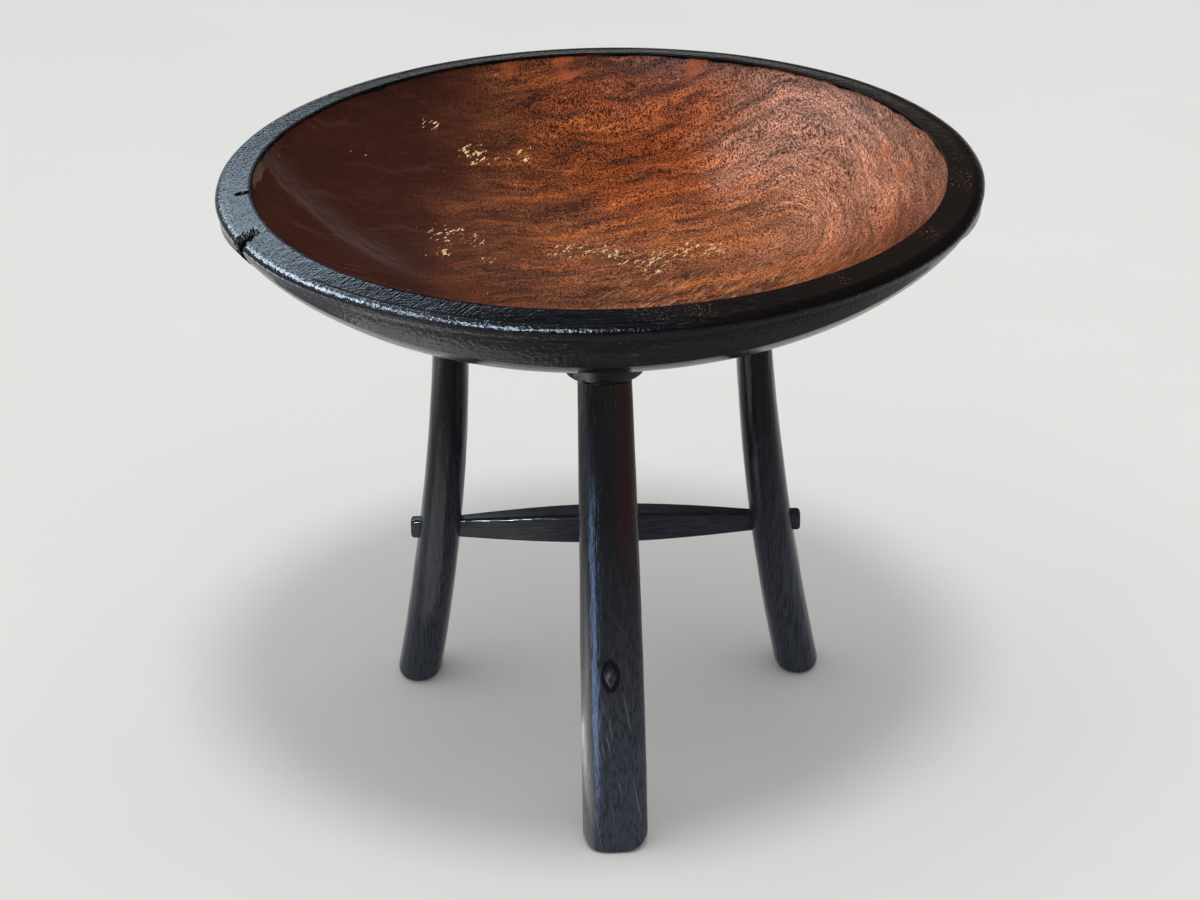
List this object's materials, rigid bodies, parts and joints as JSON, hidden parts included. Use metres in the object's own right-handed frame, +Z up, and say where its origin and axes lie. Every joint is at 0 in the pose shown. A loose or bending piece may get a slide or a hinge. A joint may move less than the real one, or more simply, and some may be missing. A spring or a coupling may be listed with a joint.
{
  "type": "side table",
  "caption": "Round side table: a deep carved wooden bowl with a broad dark rim, on sabre legs of oval section tied low down by a T of swelling rails with through tenons.",
  "frame": {"origin": "on the floor under the middle of the bowl", "axes": "+Z up, -Y towards the front leg, +X to the right as seen from the front"},
  "size_m": [0.61, 0.61, 0.502],
  "materials": {
    "bowl_wood": "polished red-brown wood inside, black stain with a satin polish on the rim and outside",
    "leg_wood": "black stain with a satin polish",
    "rail_wood": "black stain with a satin polish",
    "wedge_wood": "bare sawn wood, hidden in the joint"
  },
  "bodies": {
    "root": {"bowl": "bowl_wood", "front_leg": "leg_wood", "right_leg": "leg_wood", "left_leg": "leg_wood", "cross_rail": "rail_wood", "middle_rail": "rail_wood", "front_wedge": "wedge_wood", "right_wedge": "wedge_wood", "left_wedge": "wedge_wood"}
  },
  "joints": []
}
